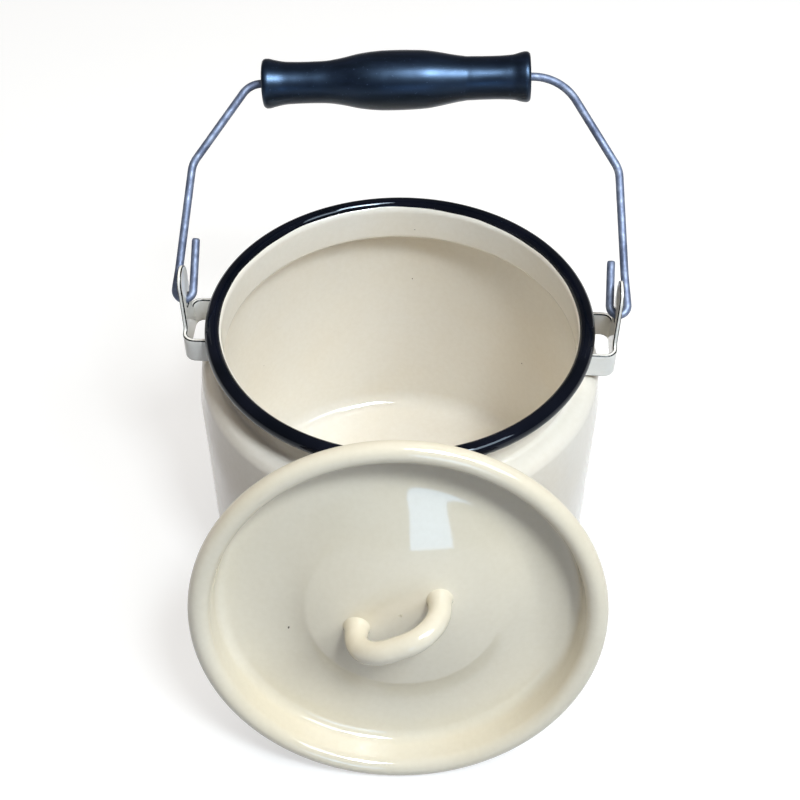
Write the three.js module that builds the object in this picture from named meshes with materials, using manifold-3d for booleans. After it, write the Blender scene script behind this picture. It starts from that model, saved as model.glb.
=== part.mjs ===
// Enamelled steel canister with a wire bail and a lift-off lid, in millimetres, +Z up.
// The origin is the centre of the flat base. The ears lie on the X axis.
// The lid is off: it stands on the floor and leans against the rim on the -Y side.

import * as THREE from 'three';
import Module from 'manifold-3d';
import { mergeVertices } from 'three/addons/utils/BufferGeometryUtils.js';

const wasm = await Module();
wasm.setup();

// Can: one drawn sheet with a flat base, a straight wall, a rounded shoulder and a short neck
const canHeight = 144.6;
const mouthRadius = 76.9;
const sheet = 1.2;
const baseCornerRadius = 9;
const neckFillet = 2;
const shoulderFlat = 0.4;
const shoulderRadius = 7;
const taperInset = 1.5;
const taperHeight = 10.5;

// Rolled bead round the mouth, seated on the edge of the neck
const beadRadius = 3.4;
const beadSeatDepth = 4.6;

// Ears: a strap bent round three sides, with an upright tongue on its outer side
const earStand = 9.4;
const earWidth = 28;
const earSheet = 1.8;
const earHeight = 12;
const earFloat = 1.4;
const earBendRadius = 3.5;
const tongueInset = 1.7;
const tongueCrown = 17;
const pivotRise = 4;
const pivotClearance = 1.35;

// Bail: one wire, hooked up through the hole of each ear, leaning back
const wireDiameter = 3.5;
const hookInnerGap = 0.55;
const hookOuterGap = 2.15;
const bailLean = THREE.MathUtils.degToRad(50);
const leftArm = {
  stub: 26.5,
  elbowInset: 1.4,
  elbowHeight: 13,
  kneeInset: 4.8,
  kneeHeight: 59,
  shoulderOverhang: 6.1,
  shoulderRadius: 10,
};
const rightArm = {
  stub: 23,
  elbowInset: 2.1,
  elbowHeight: 17,
  kneeInset: 5.8,
  kneeHeight: 62.5,
  shoulderOverhang: 13.3,
  shoulderRadius: 22,
};
const elbowRadius = 22;
const kneeRadius = 12;

// Grip: a turned roller on the wire, a little off centre and a little askew
const gripLength = 115;
const gripHeight = 98.6;
const gripOffset = -5.6;
const gripTilt = THREE.MathUtils.degToRad(3.3);
const gripBelly = 25.4;
const gripWaist = 17.7;
const gripFlare = 21.2;
const gripEdge = 1;
const boreClearance = 0.5;

// Along the half length, and between the waist and the belly, or the waist and the flare
const bellyShares = [[0, 1], [0.13, 0.97], [0.25, 0.81], [0.36, 0.5], [0.45, 0.22], [0.53, 0.06], [0.63, 0]];
const flareShares = [[0.75, 0.05], [0.86, 0.42], [0.94, 0.92]];

// Lid: one pressed sheet with a rounded lip, a deep channel and a dome that stays below the lip
const lidSheet = 0.9;
const lipClearance = 0.2;
const lipSkirt = 0.6;
const wallTaper = 0.8;
const channelDepth = 11;
const channelFillet = 4.5;
const channelReach = 53.5;
const domeReach = 40.2;
const domeRise = 5.8;
const domeSink = 2.3;
const lidLean = THREE.MathUtils.degToRad(16);
const lidTurn = THREE.MathUtils.degToRad(2.7);

// Handle of the lid: a bent tube welded on the dome
const handleDiameter = 9.5;
const handleSpan = 36.8;
const handleStand = 20.2;
const handleBendRadius = 15.5;
const handleTurn = THREE.MathUtils.degToRad(23.6);

// Clearance between pieces that lie beside each other, and the overrun of every cut
const gap = 0.3;
const overrun = 5;

// Fineness of the round stretches: the largest gap between an arc and its chords, and counts
const chordError = 0.12;
const bendStep = THREE.MathUtils.degToRad(18);
const domeSteps = 6;
const roundSides = 48;
const gripSides = 24;
const wireSides = 12;
const handleSides = 14;

// Sizes and places that follow from the ones above
const wireRadius = wireDiameter / 2;
const neckRadius = mouthRadius + sheet;
const beadCentreRadius = mouthRadius + beadRadius;
const beadCentreZ = canHeight - beadRadius;
const earTop = canHeight - 2 * beadRadius - gap;
const shoulderTop = earTop - earHeight - earFloat;
const shoulderCentreRadius = neckRadius + neckFillet + shoulderFlat;
const bodyRadius = shoulderCentreRadius + shoulderRadius + taperInset;
const earReach = beadCentreRadius + beadRadius + earStand;
const earBend = earBendRadius + earSheet;
const pivotZ = canHeight + pivotRise;
const hookRadius = (hookInnerGap + earSheet + hookOuterGap + wireDiameter) / 2;
const hookReach = earReach + hookOuterGap + wireRadius;
const lipRadius = beadRadius + lipClearance + lidSheet;
const lidRadius = beadCentreRadius + lipRadius;

// Points of an arc about (cx, cy), from one angle to another, both ends included
function arc(cx, cy, radius, from, to) {
  const step = 2 * Math.acos(1 - chordError / radius);
  const steps = Math.max(2, Math.ceil(Math.abs(to - from) / step));
  return Array.from({ length: steps + 1 }, (_, i) => {
    const angle = from + (to - from) * i / steps;
    return new THREE.Vector2(cx + radius * Math.cos(angle), cy + radius * Math.sin(angle));
  });
}

// Shift a line to its left, or to its right where the distance is negative
function shifted(line, distance) {
  return line.map((point, i) => {
    const before = line[Math.max(i - 1, 0)];
    const after = line[Math.min(i + 1, line.length - 1)];
    const along = after.clone().sub(before).normalize();
    const x = i === 0 ? point.x : point.x - along.y * distance;
    return new THREE.Vector2(x, point.y + along.x * distance);
  });
}

// The closed section of a sheet from the line of one face, which starts on the axis
function sheetSection(line, thickness) {
  return line.concat(shifted(line, thickness).reverse());
}

// A closed outline of radius and height, turned about the Z axis
function turned(outline, sides) {
  const points = THREE.ShapeUtils.isClockWise(outline) ? outline.slice().reverse() : outline.slice();
  points.push(points[0].clone());
  return new THREE.LatheGeometry(points, sides).rotateX(Math.PI / 2);
}

// A line of straight stretches with a round bend at each inner corner, and a station at each joint
class BentPath extends THREE.Curve {
  constructor(corners, radii) {
    super();
    this.stations = [corners[0]];
    radii.forEach((radius, i) => {
      const corner = corners[i + 1];
      const back = corners[i].clone().sub(corner).normalize();
      const ahead = corners[i + 2].clone().sub(corner).normalize();
      const half = back.angleTo(ahead) / 2;
      const reach = radius / Math.tan(half);
      const centre = back.clone().add(ahead).setLength(radius / Math.sin(half)).add(corner);
      const start = back.multiplyScalar(reach).add(corner).sub(centre);
      const end = ahead.multiplyScalar(reach).add(corner).sub(centre);
      const axis = start.clone().cross(end).normalize();
      const sweep = Math.PI - 2 * half;
      const steps = Math.max(2, Math.ceil(sweep / bendStep));
      for (let k = 0; k <= steps; k += 1) {
        this.stations.push(start.clone().applyAxisAngle(axis, sweep * k / steps).add(centre));
      }
    });
    this.stations.push(corners[corners.length - 1]);
  }

  getUtoTmapping(u) {
    return u;
  }

  getPoint(t) {
    const place = t * (this.stations.length - 1);
    const i = Math.min(Math.floor(place), this.stations.length - 2);
    return this.stations[i].clone().lerp(this.stations[i + 1], place - i);
  }

  getTangent(t) {
    const last = this.stations.length - 1;
    const i = Math.round(t * last);
    const here = this.stations[i];
    const before = here.clone().sub(this.stations[Math.max(i - 1, 0)]).normalize();
    const after = this.stations[Math.min(i + 1, last)].clone().sub(here).normalize();
    return before.add(after).normalize();
  }
}

// A round bar along a bent path
function bar(path, radius, sides) {
  const section = Array.from({ length: sides }, (_, i) => {
    const angle = 2 * Math.PI * i / sides;
    return new THREE.Vector2(radius * Math.cos(angle), radius * Math.sin(angle));
  });
  return new THREE.ExtrudeGeometry(new THREE.Shape(section), {
    extrudePath: path,
    steps: path.stations.length - 1,
  });
}

// A closed mesh as a solid that can be cut and joined
function solid(geometry) {
  const bare = geometry.clone();
  bare.deleteAttribute('normal');
  bare.deleteAttribute('uv');
  const merged = mergeVertices(bare);
  return new wasm.Manifold(new wasm.Mesh({
    numProp: 3,
    vertProperties: new Float32Array(merged.attributes.position.array),
    triVerts: new Uint32Array(merged.index.array),
  }));
}

// The mesh of such a solid
function geometryOf(manifold) {
  const mesh = manifold.getMesh();
  const geometry = new THREE.BufferGeometry();
  geometry.setAttribute('position', new THREE.BufferAttribute(mesh.vertProperties, mesh.numProp));
  geometry.setIndex(new THREE.BufferAttribute(mesh.triVerts, 1));
  geometry.computeVertexNormals();
  return geometry;
}

// Outside of the can, from the centre of the base up to the edge of the neck
function canLine() {
  const shoulderCentreZ = shoulderTop - shoulderRadius;
  const filletRadius = neckRadius + neckFillet;
  return [
    new THREE.Vector2(0, 0),
    ...arc(bodyRadius - baseCornerRadius, baseCornerRadius, baseCornerRadius, -Math.PI / 2, 0),
    new THREE.Vector2(bodyRadius, shoulderCentreZ - taperHeight),
    ...arc(shoulderCentreRadius, shoulderCentreZ, shoulderRadius, 0, Math.PI / 2),
    ...arc(filletRadius, shoulderTop + neckFillet, neckFillet, -Math.PI / 2, -Math.PI),
    new THREE.Vector2(neckRadius, canHeight - beadSeatDepth - gap),
  ];
}

function bodyGeometry() {
  return turned(sheetSection(canLine(), sheet), roundSides);
}

// A round bead with a step cut out of it, which sits over the edge of the neck
function beadGeometry() {
  const seatRadius = neckRadius + gap;
  const seatZ = canHeight - beadSeatDepth;
  const outerAngle = -Math.acos((seatRadius - beadCentreRadius) / beadRadius);
  const innerAngle = Math.PI + Math.asin((beadCentreZ - seatZ) / beadRadius);
  return turned([
    ...arc(beadCentreRadius, beadCentreZ, beadRadius, outerAngle, innerAngle),
    new THREE.Vector2(seatRadius, seatZ),
  ], roundSides);
}

// The space that the can fills, grown by the clearance, which cuts the legs of the ears
function canKeepOut() {
  const line = shifted(canLine(), -gap);
  const top = line[line.length - 1];
  return solid(turned([...line, new THREE.Vector2(0, top.y)], roundSides));
}

// The strap seen from above: two legs into the neck and a plate between them
function strapGeometry() {
  const start = mouthRadius - overrun;
  const half = earWidth / 2;
  const bendX = earReach - earBend;
  const bendY = half - earBend;
  const outline = [
    new THREE.Vector2(start, -half),
    ...arc(bendX, -bendY, earBend, -Math.PI / 2, 0),
    ...arc(bendX, bendY, earBend, 0, Math.PI / 2),
    new THREE.Vector2(start, half),
    new THREE.Vector2(start, half - earSheet),
    ...arc(bendX, bendY, earBendRadius, Math.PI / 2, 0),
    ...arc(bendX, -bendY, earBendRadius, 0, -Math.PI / 2),
    new THREE.Vector2(start, earSheet - half),
  ];
  return new THREE.ExtrudeGeometry(new THREE.Shape(outline), { depth: earHeight, bevelEnabled: false })
    .translate(0, 0, earTop - earHeight);
}

// The tongue seen from the side: fillets at its foot, a round crown and the hole for the wire
function tongueGeometry() {
  const foot = earWidth / 2 - earBend;
  const half = foot - tongueInset;
  const filletZ = earTop + tongueInset;
  const crownZ = pivotZ + tongueCrown - half;
  const outline = [
    new THREE.Vector2(-foot, earTop - earHeight),
    new THREE.Vector2(foot, earTop - earHeight),
    ...arc(foot, filletZ, tongueInset, -Math.PI / 2, -Math.PI),
    ...arc(0, crownZ, half, 0, Math.PI),
    ...arc(-foot, filletZ, tongueInset, 0, -Math.PI / 2),
  ];
  const shape = new THREE.Shape(outline);
  shape.holes.push(new THREE.Path(arc(0, pivotZ, wireRadius + pivotClearance, 0, 2 * Math.PI).slice(1)));
  const upright = new THREE.Matrix4().makeBasis(
    new THREE.Vector3(0, 1, 0),
    new THREE.Vector3(0, 0, 1),
    new THREE.Vector3(1, 0, 0),
  );
  return new THREE.ExtrudeGeometry(shape, { depth: earSheet, bevelEnabled: false })
    .applyMatrix4(upright)
    .translate(earReach - earSheet, 0, 0);
}

function earGeometry() {
  return geometryOf(solid(strapGeometry()).add(solid(tongueGeometry())).subtract(canKeepOut()));
}

// One arm of the bail in its own plane, from the stub end to the bend beside the grip
function armCorners(arm, side) {
  const alongGrip = side * (gripLength / 2 + arm.shoulderOverhang);
  return [
    new THREE.Vector3(side * (hookReach - 2 * hookRadius), 0, arm.stub),
    new THREE.Vector3(side * (hookReach - 2 * hookRadius), 0, 0),
    new THREE.Vector3(side * hookReach, 0, 0),
    new THREE.Vector3(side * (hookReach - arm.elbowInset), 0, arm.elbowHeight),
    new THREE.Vector3(side * (hookReach - arm.kneeInset), 0, arm.kneeHeight),
    new THREE.Vector3(
      gripOffset + alongGrip * Math.cos(gripTilt),
      0,
      gripHeight + alongGrip * Math.sin(gripTilt),
    ),
  ];
}

function bailGeometry() {
  const corners = [...armCorners(leftArm, -1), ...armCorners(rightArm, 1).reverse()];
  const hook = [hookRadius, hookRadius, elbowRadius, kneeRadius];
  const radii = [...hook, leftArm.shoulderRadius, rightArm.shoulderRadius, ...hook.reverse()];
  return bar(new BentPath(corners, radii), wireRadius, wireSides);
}

// Half of the grip's side from the middle outwards, as (distance along, radius)
function gripHalf() {
  const half = gripLength / 2;
  const waist = gripWaist / 2;
  const belly = bellyShares.map(([place, share]) => [place * half, waist + share * (gripBelly / 2 - waist)]);
  const flare = flareShares.map(([place, share]) => [place * half, waist + share * (gripFlare / 2 - waist)]);
  return [...belly, ...flare, [half - gripEdge, gripFlare / 2], [half, gripFlare / 2 - gripEdge]];
}

function gripGeometry() {
  const bore = wireRadius + boreClearance;
  const half = gripHalf();
  const outline = [
    new THREE.Vector2(bore, -gripLength / 2),
    ...half.slice(1).reverse().map(([along, radius]) => new THREE.Vector2(radius, -along)),
    ...half.map(([along, radius]) => new THREE.Vector2(radius, along)),
    new THREE.Vector2(bore, gripLength / 2),
  ];
  return turned(outline, gripSides).rotateY(Math.PI / 2);
}

// Upper face of the dome, from the axis to its edge
function domeLine() {
  return Array.from({ length: domeSteps + 1 }, (_, i) => {
    const share = i / domeSteps;
    return new THREE.Vector2(share * domeReach, -domeSink - domeRise * share * share);
  });
}

// Upper face of the lid, from the centre of the dome to the lower edge of the lip
function lidLine() {
  const run = channelReach - domeReach;
  const fall = channelDepth - domeSink - domeRise;
  const flankRadius = (run * run + fall * fall) / (2 * fall);
  const flankAngle = -Math.PI / 2 - Math.asin(run / flankRadius);
  const filletCentre = beadCentreRadius - lipRadius - wallTaper - channelFillet;
  return [
    ...domeLine().slice(0, -1),
    ...arc(channelReach, flankRadius - channelDepth, flankRadius, flankAngle, -Math.PI / 2),
    ...arc(filletCentre, channelFillet - channelDepth, channelFillet, -Math.PI / 2, 0),
    ...arc(beadCentreRadius, 0, lipRadius, Math.PI, 0),
    new THREE.Vector2(lidRadius, -lipSkirt),
  ];
}

function lidGeometry() {
  return turned(sheetSection(lidLine(), -lidSheet), roundSides);
}

// A tube bent over in an arch, whose feet follow the dome
function handleGeometry() {
  const half = handleSpan / 2;
  const top = handleStand - domeSink;
  const bend = Math.min(handleBendRadius, half - gap);
  const arch = bar(new BentPath([
    new THREE.Vector3(-half, 0, -channelDepth),
    new THREE.Vector3(-half, 0, top),
    new THREE.Vector3(half, 0, top),
    new THREE.Vector3(half, 0, -channelDepth),
  ], [bend, bend]), handleDiameter / 2, handleSides);
  const floorZ = -channelDepth - overrun;
  const domeKeepOut = solid(turned([
    ...shifted(domeLine(), gap),
    new THREE.Vector2(domeReach, floorZ),
    new THREE.Vector2(0, floorZ),
  ], roundSides));
  return geometryOf(solid(arch).subtract(domeKeepOut));
}

const creamEnamel = { color: 0xe6dfc8, roughness: 0.16, metalness: 0 };
const blackEnamel = { color: 0x0b0e16, roughness: 0.12, metalness: 0 };
const zincWire = { color: 0xa3a9b3, roughness: 0.42, metalness: 0.9 };
const blackLacquer = { color: 0x10141d, roughness: 0.3, metalness: 0 };

function piece(name, geometry, finish) {
  const mesh = new THREE.Mesh(geometry, new THREE.MeshStandardMaterial(finish));
  mesh.name = name;
  return mesh;
}

const canister = new THREE.Group();
canister.add(piece('body_shell', bodyGeometry(), creamEnamel));
canister.add(piece('rim_bead', beadGeometry(), blackEnamel));

const rightEar = piece('right_ear', earGeometry(), creamEnamel);
const leftEar = piece('left_ear', earGeometry(), creamEnamel);
leftEar.rotation.z = Math.PI;
canister.add(rightEar, leftEar);

// The bail turns about the holes of the ears, and the grip about the straight part of the wire
const bail = new THREE.Group();
bail.position.z = pivotZ;
bail.rotation.x = -bailLean;
const grip = piece('grip', gripGeometry(), blackLacquer);
grip.position.set(gripOffset, 0, gripHeight);
grip.rotation.y = -gripTilt;
bail.add(piece('bail_wire', bailGeometry(), zincWire), grip);
canister.add(bail);

// The lid stands on the lower edge of its lip, and the back of its channel lies on the rim
const lid = new THREE.Group();
const lidZ = lidRadius * Math.cos(lidLean) + lipSkirt * Math.sin(lidLean);
const lidBack = channelDepth + lidSheet + gap + beadRadius;
const lidRun = (lidBack + (beadCentreZ - lidZ) * Math.sin(lidLean)) / Math.cos(lidLean);
lid.position.set(0, -beadCentreRadius - lidRun, lidZ);
lid.rotation.x = Math.PI / 2 - lidLean;
const lidHandle = piece('lid_handle', handleGeometry(), creamEnamel);
lidHandle.rotation.z = handleTurn;
lid.add(piece('lid_pan', lidGeometry(), creamEnamel), lidHandle);
const lidPlace = new THREE.Group();
lidPlace.rotation.z = lidTurn;
lidPlace.add(lid);
canister.add(lidPlace);

export default canister;
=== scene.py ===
# %% [markdown]
# An enamel canister whose lid leans on its front.
#
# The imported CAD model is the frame: it fixes where every piece sits and how it moves. This script
# dresses that frame with smooth surfaces, fired enamel, galvanised wire and lacquered wood.

# %% Load the frame
import math
import bpy
import numpy as np
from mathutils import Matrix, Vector
from mathutils.geometry import delaunay_2d_cdt


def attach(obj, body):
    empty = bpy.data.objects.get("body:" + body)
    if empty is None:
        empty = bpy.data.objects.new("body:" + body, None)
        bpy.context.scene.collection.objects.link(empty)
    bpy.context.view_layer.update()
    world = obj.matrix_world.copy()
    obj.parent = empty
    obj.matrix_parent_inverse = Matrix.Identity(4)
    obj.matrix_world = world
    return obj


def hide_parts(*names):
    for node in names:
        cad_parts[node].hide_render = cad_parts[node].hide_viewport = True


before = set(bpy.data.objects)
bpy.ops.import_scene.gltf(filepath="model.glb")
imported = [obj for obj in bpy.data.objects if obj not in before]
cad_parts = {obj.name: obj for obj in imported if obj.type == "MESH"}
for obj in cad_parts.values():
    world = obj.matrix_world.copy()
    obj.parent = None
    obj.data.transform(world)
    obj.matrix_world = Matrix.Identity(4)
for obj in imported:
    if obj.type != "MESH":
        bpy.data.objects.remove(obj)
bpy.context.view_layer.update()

MM = 0.001

# %% [markdown]
# The camera comes first, because it decides which details will be seen. The photograph looks down by
# 46 degrees from a little over half a metre away, and its focal length follows from how much smaller
# the far parts look. A wrong distance would show at once as a mouth that is too round or too flat.

# %% Camera
CAMERA_PLACE = (23.2 * MM, -427.6 * MM, 535.05 * MM)
CAMERA_DOWN = math.radians(46.0)
CAMERA_LEFT = math.radians(3.1)
FOCAL_SHARE = 1348.75 / 800

camera_data = bpy.data.cameras.new("camera")
camera_data.sensor_width = 36.0
camera_data.lens = 36.0 * FOCAL_SHARE
camera_data.clip_start = 0.01
camera = bpy.data.objects.new("camera", camera_data)
camera.location = CAMERA_PLACE
camera.rotation_euler = (math.pi / 2 - CAMERA_DOWN, 0.0, CAMERA_LEFT)
bpy.context.scene.collection.objects.link(camera)
bpy.context.scene.camera = camera
print("focal length", round(camera_data.lens, 2), "mm")

# %% [markdown]
# Three ways to make a surface are enough here. A turned form carries a profile round the Z axis, a bar
# carries a circle along a line, and the ears are cut as flat sheet and then bent. Each is computed
# as whole arrays and put into the mesh at once, which is much quicker than adding points one by one.

# %% Put arrays into a mesh
def add_piece(name, points, faces, body, nodes, material):
    """A smooth mesh from an (n, 3) array of points in metres and an (m, 4) array of corner numbers.

    A row whose last two numbers are equal is a triangle. The enclosed volume, a sixth of the sum
    of a . (b x c) over all triangles, is made positive, so that the faces point outwards.
    """
    points = np.asarray(points, dtype=np.float64)
    faces = np.asarray(faces, dtype=np.int64)
    a, b, c, d = (points[faces[:, k]] for k in range(4))
    volume = np.einsum("ij,ij->i", a, np.cross(b, c) + np.cross(c, d)).sum() / 6
    if volume < 0:
        faces = np.where((faces[:, 2] == faces[:, 3])[:, None], faces[:, [1, 0, 2, 2]], faces[:, ::-1])
    corners = np.where(faces[:, 2] == faces[:, 3], 3, 4)
    loops = faces[np.arange(4)[None, :] < corners[:, None]]
    mesh = bpy.data.meshes.new(name)
    mesh.vertices.add(len(points))
    mesh.vertices.foreach_set("co", points.ravel())
    mesh.loops.add(len(loops))
    mesh.loops.foreach_set("vertex_index", loops)
    mesh.polygons.add(len(faces))
    mesh.polygons.foreach_set("loop_start", np.concatenate(([0], np.cumsum(corners)[:-1])))
    mesh.polygons.foreach_set("use_smooth", np.ones(len(faces), dtype=bool))
    mesh.update(calc_edges=True)
    mesh.validate()
    piece = bpy.data.objects.new(name, mesh)
    bpy.context.scene.collection.objects.link(piece)
    mesh.materials.append(material)
    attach(piece, body)
    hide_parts(*nodes)
    print(name, "-", len(points), "points,", round(abs(volume) * 1e6, 2), "cubic centimetres")
    return piece


# %% Faces between rings of points
def strips(low, high):
    """Faces with four corners between two arrays of point numbers, each row of which is a closed ring."""
    return np.stack([low, np.roll(low, -1, axis=1), np.roll(high, -1, axis=1), high], axis=-1).reshape(-1, 4)


def end_fans(first, near, last, far):
    """Triangles from point number first to the ring near, and from point number last to the ring far."""
    start = np.stack([np.full(len(near), first), np.roll(near, -1), near, near], axis=-1)
    end = np.stack([np.full(len(far), last), far, np.roll(far, -1), np.roll(far, -1)], axis=-1)
    return np.vstack([start, end])


# %% A profile turned about the axis
def turned(profile, sides, shift=None):
    """Point (r, z) of the profile goes to (r cos t, r sin t, z) for every angle t.

    A profile that starts and ends on the axis closes there with one point each. Any other profile is
    a ring section and closes on itself. shift(r, t, z) may add a small (x, y, z) to every point.
    """
    profile = np.asarray(profile, dtype=float)
    closed_on_axis = profile[0, 0] < 1e-9
    ring = profile[1:-1] if closed_on_axis else profile
    t = np.arange(sides) * 2 * math.pi / sides
    r, z = ring[:, :1], ring[:, 1:]
    points = np.stack([r * np.cos(t), r * np.sin(t), z + 0 * t], axis=-1)
    if shift is not None:
        moved = shift(r + 0 * t, t + 0 * r, z + 0 * t)
        points = points + np.stack(np.broadcast_arrays(*moved), axis=-1)
    points = points.reshape(-1, 3)
    index = np.arange(len(points)).reshape(len(ring), sides)
    if not closed_on_axis:
        return points, strips(index, np.roll(index, -1, axis=0))
    fans = end_fans(len(points), index[0], len(points) + 1, index[-1])
    poles = [[0, 0, profile[0, 1]], [0, 0, profile[-1, 1]]]
    return np.vstack([points, poles]), np.vstack([strips(index[:-1], index[1:]), fans])


# %% A circle carried along a line
def bar(line, radius, across, sides):
    """Circles of the given radius stand square to a line that lies in one plane.

    Point (s, t) is line(s) + radius(s) * (cos t * across + sin t * (along x across)), where across is
    the direction square to the plane. One more point on the line closes each end.
    """
    line = np.asarray(line, dtype=float)
    along = np.gradient(line, axis=0)
    along /= np.linalg.norm(along, axis=1)[:, None]
    across = np.broadcast_to(np.asarray(across, dtype=float), line.shape)
    other = np.cross(along, across)
    t = (np.arange(sides) * 2 * math.pi / sides)[None, :, None]
    radius = np.broadcast_to(np.asarray(radius, dtype=float), (len(line),))[:, None, None]
    ring = np.cos(t) * across[:, None, :] + np.sin(t) * other[:, None, :]
    points = (line[:, None, :] + radius * ring).reshape(-1, 3)
    index = np.arange(len(points)).reshape(len(line), sides)
    fans = end_fans(len(points), index[0], len(points) + 1, index[-1])
    return np.vstack([points, line[0], line[-1]]), np.vstack([strips(index[:-1], index[1:]), fans])


# %% A line with round bends
def bent_line(corners, radii, spacing):
    """Straight stretches with an arc at each inner corner, sampled at an even spacing.

    The arc of radius R touches both stretches at R / tan(half angle) from the corner.
    """
    corners = np.asarray(corners, dtype=float)
    pieces = [corners[:1]]
    for before, corner, after, radius in zip(corners[:-2], corners[1:-1], corners[2:], radii):
        back = (before - corner) / np.linalg.norm(before - corner)
        ahead = (after - corner) / np.linalg.norm(after - corner)
        half = math.acos(float(np.clip(back @ ahead, -1, 1))) / 2
        centre = corner + (back + ahead) / np.linalg.norm(back + ahead) * radius / math.sin(half)
        start = corner + back * radius / math.tan(half) - centre
        end = corner + ahead * radius / math.tan(half) - centre
        sweep = math.pi - 2 * half
        t = np.linspace(0, 1, 24)[:, None]
        pieces.append(centre + (start * np.sin((1 - t) * sweep) + end * np.sin(t * sweep)) / math.sin(sweep))
    pieces.append(corners[-1:])
    line = np.vstack(pieces)
    length = np.concatenate(([0], np.cumsum(np.linalg.norm(np.diff(line, axis=0), axis=1))))
    steps = max(2, int(round(length[-1] / spacing)))
    even = np.linspace(0, length[-1], steps + 1)
    return np.stack([np.interp(even, length, line[:, k]) for k in range(3)], axis=1)


# %% Arcs and rounded profiles
def arc(cx, cz, radius, start, end, count=24):
    """Points (cx + R cos t, cz + R sin t) for t from start to end, in degrees."""
    t = np.radians(np.linspace(start, end, count))
    return np.stack([cx + radius * np.cos(t), cz + radius * np.sin(t)], axis=1)


def offset(line, distance):
    """The line shifted sideways: each point moves by the distance to the left of the line's direction."""
    along = np.gradient(line, axis=0)
    along /= np.linalg.norm(along, axis=1)[:, None]
    return line + distance * np.stack([-along[:, 1], along[:, 0]], axis=1)


# %% [markdown]
# Every finish here is one shader whose colour, roughness and bumps come from noise. Pictures of enamel
# or zinc would do too, but noise has no seams and no limit of sharpness. It is read at the object's own
# coordinates, so it stays put when a piece moves.

# %% Helpers for materials
def new_material(name, base, roughness, **sockets):
    """A material with one Principled shader, whose constants are set on its own sockets."""
    material = bpy.data.materials.new(name)
    material.use_nodes = True
    shader = material.node_tree.nodes["Principled BSDF"]
    shader.inputs["Base Color"].default_value = (*base, 1.0)
    shader.inputs["Roughness"].default_value = roughness
    for socket, value in sockets.items():
        shader.inputs[socket.replace("_", " ")].default_value = value
    return material, material.node_tree, shader


def noise(tree, scale, detail=2.0, stretch=(1.0, 1.0, 1.0)):
    """Noise on the object's own coordinates. The scale counts features per metre."""
    place = tree.nodes.new("ShaderNodeTexCoord")
    mapping = tree.nodes.new("ShaderNodeMapping")
    mapping.inputs["Scale"].default_value = stretch
    texture = tree.nodes.new("ShaderNodeTexNoise")
    texture.inputs["Scale"].default_value = scale
    texture.inputs["Detail"].default_value = detail
    tree.links.new(place.outputs["Object"], mapping.inputs["Vector"])
    tree.links.new(mapping.outputs["Vector"], texture.inputs["Vector"])
    return texture.outputs["Fac"]


def ramp(tree, value, stops):
    """A colour for each value: stops are (value, (r, g, b)) pairs."""
    node = tree.nodes.new("ShaderNodeValToRGB")
    node.color_ramp.elements[0].position, node.color_ramp.elements[1].position = stops[0][0], stops[-1][0]
    for position, _ in stops[1:-1]:
        node.color_ramp.elements.new(position)
    for element, (_, colour) in zip(node.color_ramp.elements, stops):
        element.color = (*colour, 1.0)
    tree.links.new(value, node.inputs["Fac"])
    return node.outputs["Color"]


def spread(tree, value, low, high):
    """The value, which runs from 0.3 to 0.7, mapped to the range from low to high."""
    node = tree.nodes.new("ShaderNodeMapRange")
    for socket, number in zip(("From Min", "From Max", "To Min", "To Max"), (0.3, 0.7, low, high)):
        node.inputs[socket].default_value = number
    tree.links.new(value, node.inputs["Value"])
    return node.outputs["Result"]


def blend_colours(tree, factor, first, second, mode="MIX"):
    """first and second mixed by the factor. Any of the three may be a number, a colour or a link."""
    node = tree.nodes.new("ShaderNodeMix")
    node.data_type = "RGBA"
    node.blend_type = mode
    for socket, value in ((node.inputs[0], factor), (node.inputs[6], first), (node.inputs[7], second)):
        if isinstance(value, bpy.types.NodeSocket):
            tree.links.new(value, socket)
        else:
            socket.default_value = value if isinstance(value, float) else (*value, 1.0)
    return node.outputs[2]


def bumps(tree, shader, layers):
    """Bump maps in a chain: each layer is (height value, strength, depth in metres)."""
    normal = None
    for height, strength, depth in layers:
        node = tree.nodes.new("ShaderNodeBump")
        node.inputs["Strength"].default_value = strength
        node.inputs["Distance"].default_value = depth
        tree.links.new(height, node.inputs["Height"])
        if normal is not None:
            tree.links.new(normal, node.inputs["Normal"])
        normal = node.outputs["Normal"]
    tree.links.new(normal, shader.inputs["Normal"])


# %% [markdown]
# Fired enamel is glass on steel. It is very glossy, but it never lies quite flat: it has a soft
# waviness of a few centimetres, a faint orange peel, a few dark pits and small drifts of colour. The
# lid is the warmest in tone. The ears take a paler copy of the cream, which is painted light: it
# stands in for the brighter light on them. So one function makes three shades of it.

# %% Cream enamel
def cream_enamel(name, warm, pale, wave):
    """Glossy cream glass: slow drifts between two tones, rare dark pits, waves and orange peel."""
    material, tree, shader = new_material(name, pale, 0.05, IOR=1.5)
    drift = ramp(tree, noise(tree, 14.0, 3.0), [(0.34, warm), (0.66, pale)])
    mottle = ramp(tree, noise(tree, 420.0, 2.0), [(0.3, (0.975, 0.97, 0.96)), (0.7, (1.0, 1.0, 1.0))])
    tinted = blend_colours(tree, 1.0, drift, mottle, "MULTIPLY")
    pits = ramp(tree, noise(tree, 360.0, 0.0), [(0.0, (0, 0, 0)), (0.915, (0, 0, 0)), (0.93, (1, 1, 1))])
    tree.links.new(blend_colours(tree, pits, tinted, (0.14, 0.105, 0.07)), shader.inputs["Base Color"])
    tree.links.new(spread(tree, noise(tree, 60.0, 3.0), 0.035, 0.075), shader.inputs["Roughness"])
    bumps(tree, shader, [
        (noise(tree, 26.0, 1.0), 0.35, wave),
        (noise(tree, 750.0, 1.0), 0.12, 0.00005),
    ])
    return material


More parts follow.
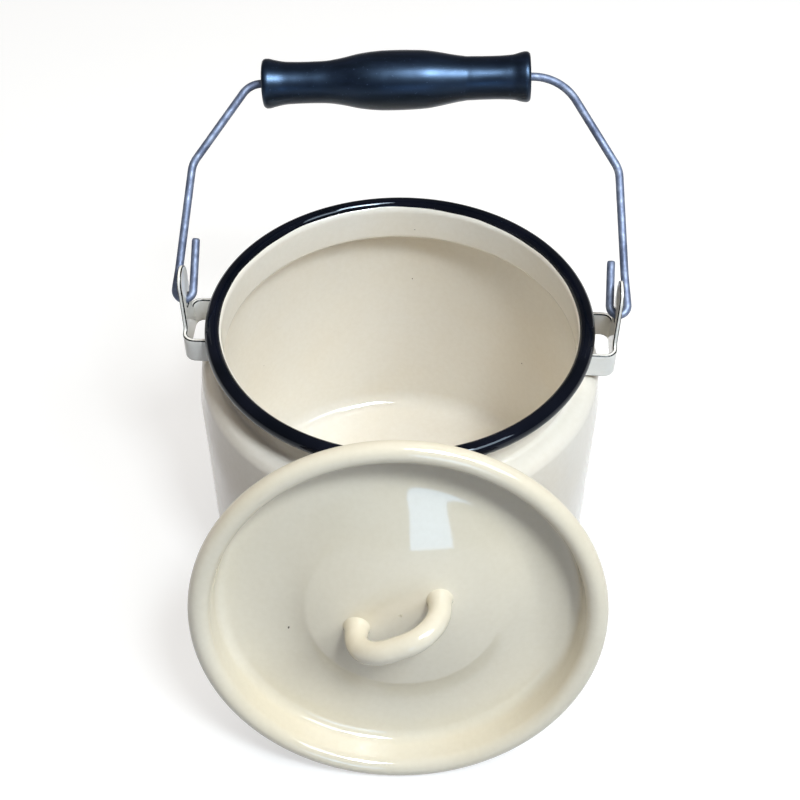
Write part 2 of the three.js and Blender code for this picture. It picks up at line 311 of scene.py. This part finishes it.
CREAM = cream_enamel("cream_enamel", (0.875, 0.81, 0.70), (0.89, 0.85, 0.775), 0.0010)
# The ears' paler cream is painted light: a lit copy of the can's cream, not a tone of their own.
PAINTED_LIT_EAR_CREAM = cream_enamel("cream_enamel_ear_painted_lit", (0.90, 0.87, 0.80), (0.92, 0.90, 0.85), 0.0006)
LID_CREAM = cream_enamel("cream_enamel_lid", (0.78, 0.70, 0.545), (0.80, 0.73, 0.59), 0.0003)
print("cream finishes:", CREAM.name, PAINTED_LIT_EAR_CREAM.name, LID_CREAM.name)

# %% [markdown]
# The rim is dipped in blue-black enamel. The ears' cut edges get a thin dark line, which is partly
# the dark coat that lies under the cream and partly painted shade along the edges. Both are glass
# again. Their specular level is low, because a black glass that mirrors a whole room looks grey, and
# only the crisp lines of light should be left.

# %% Black enamel and dark edge lines of ground coat and painted shade
def black_enamel():
    """Glossy blue-black glass with a slight unevenness, as it is left by dipping the rim."""
    # The specular tint makes every reflection a little blue: painted bluish light.
    material, tree, shader = new_material(
        "black_enamel", (0.003, 0.004, 0.008), 0.04,
        Specular_IOR_Level=0.26, Specular_Tint=(0.8, 0.9, 1.0, 1.0))
    tone = ramp(tree, noise(tree, 45.0, 3.0), [(0.35, (0.002, 0.003, 0.006)), (0.65, (0.005, 0.006, 0.012))])
    tree.links.new(tone, shader.inputs["Base Color"])
    tree.links.new(spread(tree, noise(tree, 120.0, 2.0), 0.03, 0.06), shader.inputs["Roughness"])
    bumps(tree, shader, [(noise(tree, 55.0, 1.0), 0.4, 0.0006), (noise(tree, 900.0, 1.0), 0.1, 0.00004)])
    return material


def edge_coat_and_shade_line():
    """A thin, uneven dark edge line: ground coat where the enamel pulls back, and painted shade."""
    material, tree, shader = new_material("edge_coat_and_shade_line", (0.10, 0.085, 0.065), 0.25)
    tone = ramp(tree, noise(tree, 300.0, 3.0), [
        (0.4, (0.004, 0.004, 0.005)), (0.66, (0.012, 0.011, 0.010)), (0.8, (0.3, 0.28, 0.24))])
    tree.links.new(tone, shader.inputs["Base Color"])
    tree.links.new(spread(tree, noise(tree, 500.0, 2.0), 0.16, 0.4), shader.inputs["Roughness"])
    bumps(tree, shader, [(noise(tree, 600.0, 2.0), 0.3, 0.0001)])
    return material


BLACK = black_enamel()
EDGE_COAT_AND_SHADE = edge_coat_and_shade_line()
print("dark finishes:", BLACK.name, EDGE_COAT_AND_SHADE.name)

# %% [markdown]
# Galvanised wire is steel under a skin of zinc. It is neither bright nor smooth: the zinc freezes in
# spangles, dulls in the air and is scuffed by the bending. So it is only partly metallic, and quite rough.

# %% Galvanised wire
def zinc():
    """Dull blue-grey zinc: soft spangle, small lumps and darker stains, half rough."""
    material, tree, shader = new_material("zinc_wire", (0.42, 0.45, 0.50), 0.5, Metallic=0.6)
    spangle = ramp(tree, noise(tree, 260.0, 3.0), [
        (0.32, (0.12, 0.145, 0.215)), (0.5, (0.17, 0.20, 0.285)), (0.68, (0.25, 0.285, 0.37))])
    stain = ramp(tree, noise(tree, 70.0, 2.0), [(0.36, (0.62, 0.62, 0.66)), (0.6, (1.0, 1.0, 1.0))])
    tree.links.new(blend_colours(tree, 1.0, spangle, stain, "MULTIPLY"), shader.inputs["Base Color"])
    tree.links.new(spread(tree, noise(tree, 420.0, 3.0), 0.5, 0.7), shader.inputs["Roughness"])
    bumps(tree, shader, [(noise(tree, 700.0, 3.0), 0.5, 0.00016), (noise(tree, 160.0, 2.0), 0.35, 0.0004)])
    return material


# %% [markdown]
# The grip is turned wood that was dipped in lacquer. The lacquer is thin enough for the grain to show
# as fine ridges, it is only half glossy, and dust has stuck to it. The grain is noise that is stretched
# along the grip, which lies nearly along X.

# %% Black lacquer over turned wood
def lacquer():
    """Blue-black lacquer: the grain runs along the grip and telegraphs through, with dust specks."""
    # The specular tint colours every reflection blue: painted bluish light, the colour of the sky in its
    # gloss.
    material, tree, shader = new_material(
        "black_lacquer", (0.002, 0.004, 0.012), 0.35,
        Specular_IOR_Level=0.55, Specular_Tint=(0.40, 0.63, 1.0, 1.0))
    grain = noise(tree, 420.0, 4.0, (0.12, 1.0, 1.0))
    tone = ramp(tree, grain, [(0.35, (0.001, 0.002, 0.005)), (0.65, (0.003, 0.005, 0.013))])
    dust = ramp(tree, noise(tree, 1300.0, 1.0), [(0.0, (0, 0, 0)), (0.7, (0, 0, 0)), (0.78, (1, 1, 1))])
    tree.links.new(blend_colours(tree, dust, tone, (0.03, 0.045, 0.08)), shader.inputs["Base Color"])
    tree.links.new(spread(tree, noise(tree, 90.0, 3.0), 0.30, 0.42), shader.inputs["Roughness"])
    bumps(tree, shader, [(grain, 0.12, 0.0002), (noise(tree, 1100.0, 1.0), 0.25, 0.00006)])
    return material


ZINC = zinc()
LACQUER = lacquer()
print("bail finishes:", ZINC.name, LACQUER.name)

# %% [markdown]
# The can is one sheet drawn to a cup, so its inside repeats its outside at the sheet's thickness.
# One profile gives both faces: down the outside from the edge of the neck to the centre of the base, and
# back up inside. A very slight out-of-roundness keeps the reflections from looking machined.

# %% The can's profile
CAN_HEIGHT = 144.6
MOUTH = 76.9
SHEET = 1.2
NECK = MOUTH + SHEET
NECK_FILLET = 2.0
SHOULDER_TOP = 124.1
SHOULDER_FLAT = 0.4
SHOULDER_ROUND = 7.0
TAPER_HEIGHT = 10.5
BODY = 89.0
BASE_ROUND = 9.0
DIPPING_LINE = CAN_HEIGHT - 2.6

can_line = np.vstack([
    [[0.0, 0.0], [40.0, 0.0]],
    arc(BODY - BASE_ROUND, BASE_ROUND, BASE_ROUND, -90, 0),
    [[BODY, 40.0], [BODY, 80.0], [BODY, SHOULDER_TOP - SHOULDER_ROUND - TAPER_HEIGHT]],
    arc(NECK + NECK_FILLET + SHOULDER_FLAT, SHOULDER_TOP - SHOULDER_ROUND, SHOULDER_ROUND, 4, 90),
    arc(NECK + NECK_FILLET, SHOULDER_TOP + NECK_FILLET, NECK_FILLET, -92, -180, 12),
    [[NECK, SHOULDER_TOP + 8.0], [NECK, CAN_HEIGHT - 6.0], [NECK, DIPPING_LINE]],
])
inner_line = offset(can_line, SHEET)
inner_line[0] = (0.0, SHEET)
can_profile = np.vstack([can_line, inner_line[::-1]])
print("the can's profile has", len(can_profile), "points")

# %% The can
OUT_OF_ROUND = 0.09
EDGE_BAND = CAN_HEIGHT - 4.0


def can_wobble(r, t, z):
    """The radius shrinks by up to 0.3 mm, most at mid height and unevenly round the can.

    It changes by OUT_OF_ROUND times a half sine of the height times (cos 2t + 0.6 cos 3t - 1.6). The
    neck's top edge, where the cream ends and the black begins, rises and falls by long and short
    sine waves of the angle, as the dipping line does.
    """
    height_share = np.clip(z / CAN_HEIGHT, 0, 1)
    size = OUT_OF_ROUND * np.sin(math.pi * height_share) * (np.cos(2 * t + 0.7) + 0.6 * np.cos(3 * t) - 1.6)
    wave = 0.22 * np.sin(4 * t + 1.0) + 0.14 * np.sin(11 * t + 2.0) + 0.08 * np.sin(23 * t) - 0.5 * np.cos(t)
    off_axis = r > 1
    return size * np.cos(t) * off_axis, size * np.sin(t) * off_axis, np.where(z > EDGE_BAND, wave, 0.0)


points, faces = turned(can_profile, 240, can_wobble)
can = add_piece("can_enamel", points * MM, faces, "can", ["body_shell"], CREAM)

# %% [markdown]
# The rim is the sheet's edge rolled into a hollow bead and dipped in black enamel. A torus on its
# own would look like a ring of rubber, so the section is a little flatter inside. There the can's cream
# laps over it, up to the dipping line, which is never quite level.

# %% The black rim
BEAD = 3.4
INNER_FLAT = 0.14
bead_centre = (MOUTH + BEAD, CAN_HEIGHT - BEAD)
rim_profile = arc(*bead_centre, BEAD, -180, 180, 73)[:-1]
inner_half = rim_profile[:, 0] < bead_centre[0]
from_centre = rim_profile[inner_half, 0] - bead_centre[0]
rim_profile[inner_half, 0] = bead_centre[0] + from_centre * (1 - INNER_FLAT / BEAD)
points, faces = turned(rim_profile, 288)
rim = add_piece("rim_black_enamel", points * MM, faces, "can", ["rim_bead"], BLACK)

# %% [markdown]
# Each ear is one blank of sheet: a strip with a tongue, bent round two corners and welded to the neck.
# It is made in much the same order here. The flat blank is filled with triangles, every point is
# carried round the bends, and modifiers then give the sheet its thickness and its worn round edges.

# %% The flat blank of an ear
EAR_REACH = 93.1
EAR_SHEET = 1.8
EAR_TOP = 137.5
EAR_LOW = 125.5
EAR_HALF = 14.0 - EAR_SHEET / 2
BEND = 3.5 + EAR_SHEET / 2
PLATE_HALF = EAR_HALF - BEND
LEG_END = 76.7
BEND_LENGTH = BEND * math.pi / 2
LEG_LENGTH = EAR_REACH - EAR_SHEET / 2 - BEND - LEG_END
STRIP_HALF = PLATE_HALF + BEND_LENGTH + LEG_LENGTH
HOLE_HEIGHT = 148.6
HOLE = 3.1
TONGUE_HALF = 7.0
FOOT_FILLET = 1.7
CROWN_HEIGHT = HOLE_HEIGHT + 10.0


def blank_outline():
    """The strip's outline with the tongue on its upper edge, as (distance along the strip, height)."""
    foot = TONGUE_HALF + FOOT_FILLET
    tongue = np.vstack([
        arc(foot, EAR_TOP + FOOT_FILLET, FOOT_FILLET, 270, 180, 8),
        arc(0.0, CROWN_HEIGHT, TONGUE_HALF, 0, 180, 25),
        arc(-foot, EAR_TOP + FOOT_FILLET, FOOT_FILLET, 0, -90, 8),
    ])
    right = np.stack([np.linspace(STRIP_HALF, foot + 0.9, 20), np.full(20, EAR_TOP)], axis=1)
    low = np.stack([np.linspace(-STRIP_HALF, STRIP_HALF, 60), np.full(60, EAR_LOW)], axis=1)
    return np.vstack([low, right, tongue, right[::-1] * (-1, 1)])


# %% Fill the blank with triangles
def blank_mesh():
    """Triangles inside the outline and outside the hole.

    Loose points stand on a grid, 0.95 mm apart along the strip and 1.6 mm apart in height. Those that
    are closer than a little over a millimetre to the outline or to the hole are left out.
    """
    outline = blank_outline()
    hole = arc(0.0, HOLE_HEIGHT, HOLE, 0, 360, 29)[:-1]
    along = np.arange(-STRIP_HALF + 1.1, STRIP_HALF - 1.0, 0.95)
    up = np.arange(EAR_LOW + 1.4, 165, 1.6)
    x, z = np.meshgrid(along, up)
    loose = np.stack([x.ravel(), z.ravel()], axis=1)
    in_strip = loose[:, 1] < EAR_TOP - 1.2
    in_tongue = (abs(loose[:, 0]) < TONGUE_HALF - 1.4) & (loose[:, 1] < CROWN_HEIGHT)
    in_crown = np.hypot(loose[:, 0], loose[:, 1] - CROWN_HEIGHT) < TONGUE_HALF - 1.3
    clear = np.hypot(loose[:, 0], loose[:, 1] - HOLE_HEIGHT) > HOLE + 1.2
    loose = loose[(in_strip | in_tongue | in_crown) & clear]
    points = np.vstack([outline, hole, loose])
    n, m = len(outline), len(hole)
    rings = [list(range(n)), list(range(n, n + m))[::-1]]
    flat, _, triangles, _, _, _ = delaunay_2d_cdt([Vector(p) for p in points.tolist()], [], rings, 1, 1e-5)
    flat = np.array([tuple(p) for p in flat])
    triangles = np.array(triangles)
    middle = flat[triangles].mean(axis=1)
    return flat, triangles[np.hypot(middle[:, 0], middle[:, 1] - HOLE_HEIGHT) > HOLE - 0.04]


# %% Bend the blank and weld it to the neck
def bend_blank(flat, turn):
    """Distance along the strip becomes a place on the U: the plate, a quarter circle, a straight leg.

    On the quarter circle at angle q the point is (bend centre) + BEND * (cos q, sin q). The tongue
    is bent by hand, so it bows in and out by a few tenths. turn is 1 for the right ear and -1 for
    the left, which is the same ear turned by half a turn.
    """
    s, z = np.abs(flat[:, 0]), flat[:, 1]
    side = np.sign(flat[:, 0])
    q = np.clip((s - PLATE_HALF) / BEND, 0, math.pi / 2)
    leg = np.clip(s - PLATE_HALF - BEND_LENGTH, 0, None)
    centre = EAR_REACH - EAR_SHEET / 2 - BEND
    x = centre + BEND * np.cos(q) - leg
    y = side * (np.minimum(s, PLATE_HALF) + BEND * np.sin(q))
    up = np.clip((z - EAR_TOP) / 28, 0, 1)
    bow_size = 0.28 if turn > 0 else 0.42
    bow = bow_size * np.sin(up * math.pi * 1.6 + 0.3 * turn) * up
    return np.stack([turn * (x - bow), turn * y, z], axis=1)


# %% Both ears
EDGE_WEAR = 0.45


def make_ear(name, node, turn):
    """Sheet of the ear's thickness from the bent blank, its rounded edges lined with ground coat and painted
    shade.
    """
    flat, triangles = blank_mesh()
    points = bend_blank(flat, turn) * MM
    mesh = bpy.data.meshes.new(name)
    mesh.from_pydata(points.tolist(), [], triangles.tolist())
    mesh.polygons.foreach_set("use_smooth", np.ones(len(triangles), dtype=bool))
    # The ears take the paler cream, which is painted light.
    mesh.materials.append(PAINTED_LIT_EAR_CREAM)
    mesh.materials.append(EDGE_COAT_AND_SHADE)
    ear = bpy.data.objects.new(name, mesh)
    bpy.context.scene.collection.objects.link(ear)
    wall = ear.modifiers.new("sheet", "SOLIDIFY")
    wall.thickness = EAR_SHEET * MM
    wall.offset = 0.0
    wall.use_even_offset = True
    edge = ear.modifiers.new("worn edge", "BEVEL")
    edge.width = EDGE_WEAR * MM
    edge.segments = 3
    edge.limit_method = "ANGLE"
    edge.angle_limit = math.radians(50)
    # The bevel's faces take the dark edge line, which is ground coat and painted shade.
    edge.material = 1
    edge.use_clamp_overlap = False
    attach(ear, "can")
    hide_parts(node)
    print(name, "-", len(points), "points in the blank")


make_ear("right_ear_enamel", "right_ear", 1)
make_ear("left_ear_enamel", "left_ear", -1)

# %% [markdown]
# The bail is one length of wire: a hook through each ear, two arms, and a straight run through the
# grip. It was bent by hand, so no two corners are alike. The same corner points as in the CAD model
# are used, because the hooks have to stay in their holes, and finer bends are run through them. The
# cut ends are filed, so the radius falls to four fifths over the last half millimetre.

# %% Where the bail stands
PIVOT = 148.6
LEAN = math.radians(50)


def on_bail(points):
    """From the bail's own plane, X and Z, to its rest: leaned back about the line through the holes."""
    x, y, z = points[:, 0], points[:, 1], points[:, 2]
    back = y * math.cos(LEAN) + z * math.sin(LEAN)
    up = z * math.cos(LEAN) - y * math.sin(LEAN) + PIVOT
    return np.stack([x, back, up], axis=1)


# %% The wire's corners
HOOK_REACH = 97.0
HOOK_RADIUS = 4.0
STUB = HOOK_REACH - 2 * HOOK_RADIUS
GRIP_LENGTH = 115.0
GRIP_CENTRE = (-5.6, 98.6)
GRIP_TILT = math.radians(3.3)


def beside_grip(distance):
    """A point on the grip's line, that far from its middle."""
    x = GRIP_CENTRE[0] + distance * math.cos(GRIP_TILT)
    z = GRIP_CENTRE[1] + distance * math.sin(GRIP_TILT)
    return (x, 0, z)


left_hook = [(-STUB, 0, 26.5), (-STUB, 0, 0), (-HOOK_REACH, 0, 0)]
left_side = [(-HOOK_REACH + 1.4, 0, 13), (-HOOK_REACH + 4.8, 0, 59)]
straight = [beside_grip(-GRIP_LENGTH / 2 - 6.1), beside_grip(GRIP_LENGTH / 2 + 13.3)]
right_side = [(HOOK_REACH - 5.8, 0, 62.5), (HOOK_REACH - 2.1, 0, 17)]
right_hook = [(HOOK_REACH, 0, 0), (STUB, 0, 0), (STUB, 0, 23)]
corners = left_hook + left_side + straight + right_side + right_hook
bends = [HOOK_RADIUS, HOOK_RADIUS, 22, 12, 10, 22, 12, 22, HOOK_RADIUS, HOOK_RADIUS]
print(len(bends), "bends in the wire")

# %% The wire
WIRE = 3.5
WIRE_STEP = 0.8
END_SHARE = 0.8
END_SLOPE = 0.45
wire_line = bent_line(corners, bends, WIRE_STEP)
run = np.linspace(0, 1, len(wire_line))
from_end = np.minimum(run, 1 - run) * WIRE_STEP * len(wire_line)
wire_radius = WIRE / 2 * np.clip(END_SHARE + from_end * END_SLOPE, END_SHARE, 1.0)
points, faces = bar(wire_line, wire_radius, (0, 1, 0), 28)
wire = add_piece("bail_wire_zinc", on_bail(points) * MM, faces, "bail", ["bail_wire"], ZINC)

# %% [markdown]
# The grip is a wooden roller that turns on the wire. Its belly is longer on the left than on the
# right, where the curve ends in a soft corner: it was turned by eye. Each pair below is a place along the
# grip and the diameter there, and a smooth curve runs through them.

# %% The grip's side line
grip_stations = np.array([
    (-57.5, 19.6), (-56.9, 20.7), (-55.6, 21.1), (-52.5, 19.8), (-49, 18.4), (-44, 17.75), (-36, 17.65),
    (-29, 18.2), (-23, 20.1), (-16, 23.1), (-8, 25.0), (-1, 25.4), (6, 25.2), (14, 24.2), (20, 22.2),
    (24.5, 20.45), (28.0, 19.3), (28.8, 19.1), (29.4, 18.85), (33, 18.55), (40, 18.3), (47, 18.6),
    (51, 19.3), (54, 20.9), (56.0, 21.4), (56.9, 20.9), (57.5, 19.8),
])


def smooth_profile(stations, count):
    """A curve through the stations. Each stretch is a cubic whose slopes come from its neighbours."""
    x, y = stations[:, 0], stations[:, 1]
    slope = np.gradient(y, x)
    u = np.linspace(x[0], x[-1], count)
    k = np.clip(np.searchsorted(x, u, side="right") - 1, 0, len(x) - 2)
    width = x[k + 1] - x[k]
    t = (u - x[k]) / width
    value = ((2 * t**3 - 3 * t**2 + 1) * y[k] + (t**3 - 2 * t**2 + t) * width * slope[k]
             + (3 * t**2 - 2 * t**3) * y[k + 1] + (t**3 - t**2) * width * slope[k + 1])
    return np.stack([value, u], axis=1)


side_line = smooth_profile(grip_stations, 200) * (0.5, 1.0)
print("the grip is", round(float(grip_stations[:, 1].max()), 1), "mm thick")

# %% The grip
BORE = WIRE / 2 + 0.35
half_grip = GRIP_LENGTH / 2
grip_profile = np.vstack([
    side_line,
    [[BORE + 0.6, half_grip], [BORE, half_grip - 0.5]],
    [[BORE, 20.0], [BORE, -20.0]],
    [[BORE, 0.5 - half_grip], [BORE + 0.6, -half_grip]],
])
points, faces = turned(grip_profile, 128)
across, around, lengthways = points[:, 0], points[:, 1], points[:, 2]
grip_points = np.stack([
    GRIP_CENTRE[0] + lengthways * math.cos(GRIP_TILT) - across * math.sin(GRIP_TILT),
    around,
    GRIP_CENTRE[1] + lengthways * math.sin(GRIP_TILT) + across * math.cos(GRIP_TILT),
], axis=1)
grip = add_piece("grip_lacquered", on_bail(grip_points) * MM, faces, "grip", ["grip"], LACQUER)

# %% [markdown]
# The lid is one pressing. From the middle outwards it has a low dome, a crease, a flank that sinks
# to a deep channel, a steep wall that goes into the neck, and a lip that lies on the rim. The profile
# is drawn lying flat and is then leaned against the can.

# %% Where the lid stands
LID_LEAN = math.radians(16)
LID_TURN = math.radians(2.7)
LID_CENTRE = (0.0, -113.5961, 81.6805)


def on_lid(points):
    """From the flat lid to its rest: tipped up about X, moved to the front, turned about the can."""
    x, y, z = points[:, 0], points[:, 1], points[:, 2]
    tip = math.pi / 2 - LID_LEAN
    back = y * math.cos(tip) - z * math.sin(tip) + LID_CENTRE[1]
    up = y * math.sin(tip) + z * math.cos(tip) + LID_CENTRE[2]
    return np.stack([x * math.cos(LID_TURN) - back * math.sin(LID_TURN),
                     x * math.sin(LID_TURN) + back * math.cos(LID_TURN), up], axis=1)


# %% The lid's dome
LIP_CENTRE = MOUTH + BEAD
LIP = 4.5
LID_SHEET = 0.9
DOME_TOP = -2.3
DOME_RISE = 4.2
DOME_REACH = 40.2
FLOOR = -11.0
FOOT = 63.0


def dome_height(r):
    """Height of the dome's upper face: it falls with the square of the distance from the middle."""
    return DOME_TOP - DOME_RISE * (r / DOME_REACH) ** 2


def soften(line, width, count):
    """The line sampled anew at an even spacing, with its corners rounded.

    Each point becomes a weighted mean of the points within the width on both sides, and the weights
    follow a half wave of the cosine. Beyond its ends the line goes on as its own mirror image.
    """
    length = np.concatenate(([0], np.cumsum(np.hypot(*np.diff(line, axis=0).T))))
    even = np.linspace(0, length[-1], count)
    line = np.stack([np.interp(even, length, line[:, k]) for k in (0, 1)], axis=1)
    reach = max(1, int(width / (even[1] - even[0])))
    window = np.hanning(2 * reach + 3)[1:-1]
    window /= window.sum()
    padded = np.vstack([2 * line[0] - line[reach:0:-1], line, 2 * line[-1] - line[-2:-reach - 2:-1]])
    return np.stack([np.convolve(padded[:, k], window, "valid") for k in (0, 1)], axis=1)


dome_r = np.linspace(0, DOME_REACH, 40)
dome = np.stack([dome_r, dome_height(dome_r)], axis=1)
print("the dome is", DOME_RISE, "mm high out to its crease")

# %% The lid's profile
FLANK_POWER = 2.8
WALL_SLOPE = 0.8
WALL_ROUND = 4.5
SOFTNESS = 1.6
HEM_DROP = 0.52

share = np.linspace(0, 1, 40)
flank_fall = DOME_TOP - DOME_RISE - FLOOR
flank_height = FLOOR + flank_fall * (1 - share) ** FLANK_POWER
flank = np.stack([DOME_REACH + (FOOT - DOME_REACH) * share, flank_height], axis=1)
wall_foot = LIP_CENTRE - LIP - WALL_SLOPE
wall_curve = arc(wall_foot - WALL_ROUND, FLOOR + WALL_ROUND, WALL_ROUND, -90, 0, 24)
sunk_line = soften(np.vstack([dome[:-1], flank, wall_curve, [[LIP_CENTRE - LIP, 0.0]]]), SOFTNESS, 152)
sunk_line[0, 0] = 0.0
lip = arc(LIP_CENTRE, 0.0, LIP, 178, 0, 40)
upper_line = np.vstack([sunk_line[:-2], lip, [[LIP_CENTRE + LIP, -HEM_DROP]]])
lower_line = offset(upper_line, -LID_SHEET)
lower_line[0] = (0.0, upper_line[0, 1] - LID_SHEET)
hem = arc(LIP_CENTRE + LIP - LID_SHEET / 2, -HEM_DROP, LID_SHEET / 2, -20, -160, 7)
lid_profile = np.vstack([upper_line, hem, lower_line[::-1]])
print("the lid's profile has", len(lid_profile), "points")

# %% [markdown]
# A pressing is rarely even. Its reflections show that the dome of this lid sits a little to the right,
# and that its crease is sharp below and on the left but fades above. The turned profile stays as it
# is, and a shift that depends on the angle carries each point to its place.

# %% The uneven dome
SOFT_SIDE = math.radians(70)
DOME_ASIDE = 1.9
LONG_REACH = 57.0
long_r = np.linspace(0, LONG_REACH, 60)
long_dome = soften(np.vstack([
    np.stack([long_r, DOME_TOP + (FLOOR - DOME_TOP) * (long_r / LONG_REACH) ** 2], axis=1),
    [[70.0, FLOOR]],
]), 5.0, 200)


def smooth_step(value):
    """0 below 0 and 1 above 1, and 3 v^2 - 2 v^3 between them."""
    value = np.clip(value, 0, 1)
    return value * value * (3 - 2 * value)


def uneven_dome(r, t, z):
    """Two faults of the pressing. The dome sits a little to the right, and its crease fades on one side.

    The sideways shift is whole out to a radius of 40 mm and gone at 62 mm. On the soft side, above
    and a little to the right, each point is lifted by the height of the long dome over the creased one.
    """
    aside = DOME_ASIDE * smooth_step((62.0 - r) / 22.0)
    soft_share = smooth_step((np.cos(t - SOFT_SIDE) + 0.1) / 0.9)
    lift = np.interp(r, long_dome[:, 0], long_dome[:, 1]) - np.interp(r, sunk_line[:, 0], sunk_line[:, 1])
    return aside, 0 * t, np.where(r < 66.0, soft_share * lift, 0.0)


# %% The lid
points, faces = turned(lid_profile, 240, uneven_dome)
lid = add_piece("lid_enamel", on_lid(points) * MM, faces, "lid", ["lid_pan"], LID_CREAM)

# %% [markdown]
# The lid's handle is a bent tube. At its feet the weld and the enamel spread out into a small trumpet,
# which is what makes it look grown on rather than stuck on. So the radius is a function of the height
# over the dome, and the lowest points follow the dome's slope.

# %% The line of the lid's handle
HANDLE = 9.5
SPAN = 36.8
STAND = 20.2
HANDLE_BEND = 15.5
half = SPAN / 2
foot_height = float(dome_height(half)) - 0.45
top_height = DOME_TOP + STAND
left_leg = [(-half, 0, foot_height), (-half, 0, top_height)]
right_leg = [(half, 0, top_height), (half, 0, foot_height)]
arch = bent_line(left_leg + right_leg, [HANDLE_BEND, HANDLE_BEND], 0.35)
print("the handle's line is sampled at", len(arch), "points")

# %% The lid's handle
HANDLE_TURN = math.radians(23.6)
FOOT_BAND = 3.0
above = arch[:, 2] - foot_height
handle_radius = HANDLE / 2 * (1 + 0.2 * np.exp(-above / 1.6) + 0.04 * np.exp(-above / 5.0))
points, faces = bar(arch, handle_radius, (0, 1, 0), 64)
near_foot = points[:, 2] < foot_height + FOOT_BAND
sink = dome_height(np.hypot(points[:, 0], points[:, 1])) - dome_height(half)
foot_share = np.clip((foot_height + FOOT_BAND - points[:, 2]) / FOOT_BAND, 0, 1)
points[:, 2] += np.where(near_foot, sink * foot_share, 0)
c, s = math.cos(HANDLE_TURN), math.sin(HANDLE_TURN)
x, y = points[:, 0], points[:, 1]
points = np.stack([x * c - y * s, x * s + y * c, points[:, 2]], axis=1)
handle = add_piece("lid_handle_enamel", on_lid(points) * MM, faces, "lid", ["lid_handle"], LID_CREAM)

# %% [markdown]
# The floor has two tasks. To the camera and in reflections it is a white studio floor with a shadow,
# and to the rays that carry light it is darker and a little warm, because a white one would wash out the
# can's underside. The world is plain and dim, so that the black parts stay black.

# %% Floor and world
def seen_rays(tree):
    """1 for a ray from the camera, from a gloss or through glass, and 0 for a ray that carries light."""
    paths = tree.nodes.new("ShaderNodeLightPath")
    value = paths.outputs["Is Camera Ray"]
    for other in ("Is Glossy Ray", "Is Transmission Ray"):
        larger = tree.nodes.new("ShaderNodeMath")
        larger.operation = "MAXIMUM"
        tree.links.new(value, larger.inputs[0])
        tree.links.new(paths.outputs[other], larger.inputs[1])
        value = larger.outputs[0]
    return value


FLOOR_HALF = 12.0
floor_corners = [(x * FLOOR_HALF, y * FLOOR_HALF, 0) for x, y in ((-1, -1), (1, -1), (1, 1), (-1, 1))]
floor_mesh = bpy.data.meshes.new("floor")
floor_mesh.from_pydata(floor_corners, [], [(0, 1, 2, 3)])
floor = bpy.data.objects.new("floor", floor_mesh)
bpy.context.scene.collection.objects.link(floor)
floor_material, floor_tree, floor_shader = new_material("pale_floor", (0.9, 0.9, 0.9), 0.9)
floor_seen = seen_rays(floor_tree)
floor_tone = blend_colours(floor_tree, floor_seen, (0.2, 0.17, 0.15), (0.52, 0.51, 0.50))
floor_glow = blend_colours(floor_tree, floor_seen, (0.0, 0.0, 0.0), (0.58, 0.58, 0.58))
floor_tree.links.new(floor_tone, floor_shader.inputs["Base Color"])
floor_tree.links.new(floor_glow, floor_shader.inputs["Emission Color"])
floor_shader.inputs["Emission Strength"].default_value = 1.0
floor_shader.inputs["Specular IOR Level"].default_value = 0.1
floor_mesh.materials.append(floor_material)

world = bpy.data.worlds.new("studio")
bpy.context.scene.world = world
world.use_nodes = True
background = world.node_tree.nodes["Background"]
background.inputs["Color"].default_value = (0.14, 0.135, 0.13, 1.0)
background.inputs["Strength"].default_value = 1.0
print("the floor reaches", FLOOR_HALF, "m to each side")

# %% [markdown]
# Enamel is lit like glassware, with large soft lights, because every lamp shows as a reflection. The
# key and the skylight give the form, and the broad ceiling opens the shadows. The tall window in front
# gives the bright patch on the lid, and a pane of sky gives the lines of light on the grip and the rim.
# Each call below gives the lamp's place, the point that it faces, its width and height in metres, its
# power in watts and its colour.

# %% Lights
def softbox(name, place, aim, size, power, colour, lights=True, reflected=True):
    """A rectangle of light of the given width and height that faces the aim point.

    A light that isn't reflected brightens surfaces, but doesn't show as a patch in their gloss. A
    light that is only reflected is a pane of sky, which shows as a patch but adds no brightness.
    """
    data = bpy.data.lights.new(name, "AREA")
    data.shape = "RECTANGLE"
    data.size, data.size_y = size
    data.energy = power
    data.color = colour
    light = bpy.data.objects.new(name, data)
    light.location = place
    light.rotation_euler = (Vector(aim) - Vector(place)).to_track_quat("-Z", "Y").to_euler()
    light.visible_diffuse = lights
    light.visible_glossy = reflected
    bpy.context.scene.collection.objects.link(light)


softbox("key", (0.854, -0.568, 1.134), (0, 0, 0.1), (0.5, 0.5), 9.0, (0.84, 0.93, 1.0))
softbox("window", (0.33, -1.9, 0.32), (0, -0.1, 0.12), (0.37, 0.53), 4.0, (0.38, 0.64, 1.0))
softbox("ceiling", (-0.1, 0.1, 1.6), (0, 0, 0.1), (1.1, 1.0), 10.0, (1.0, 0.94, 0.85), reflected=False)
softbox("skylight", (0.38, -0.62, 1.32), (0, 0, 0.15), (0.25, 0.25), 10.6, (0.86, 0.94, 1.0))
softbox("sky pane", (0.40, -0.58, 1.38), (0, 0, 0.15), (0.5, 0.5), 36.0, (0.86, 0.94, 1.0), lights=False)

bpy.context.scene.view_settings.view_transform = "Standard"
print("lamps:", sorted(lamp.name for lamp in bpy.data.lights))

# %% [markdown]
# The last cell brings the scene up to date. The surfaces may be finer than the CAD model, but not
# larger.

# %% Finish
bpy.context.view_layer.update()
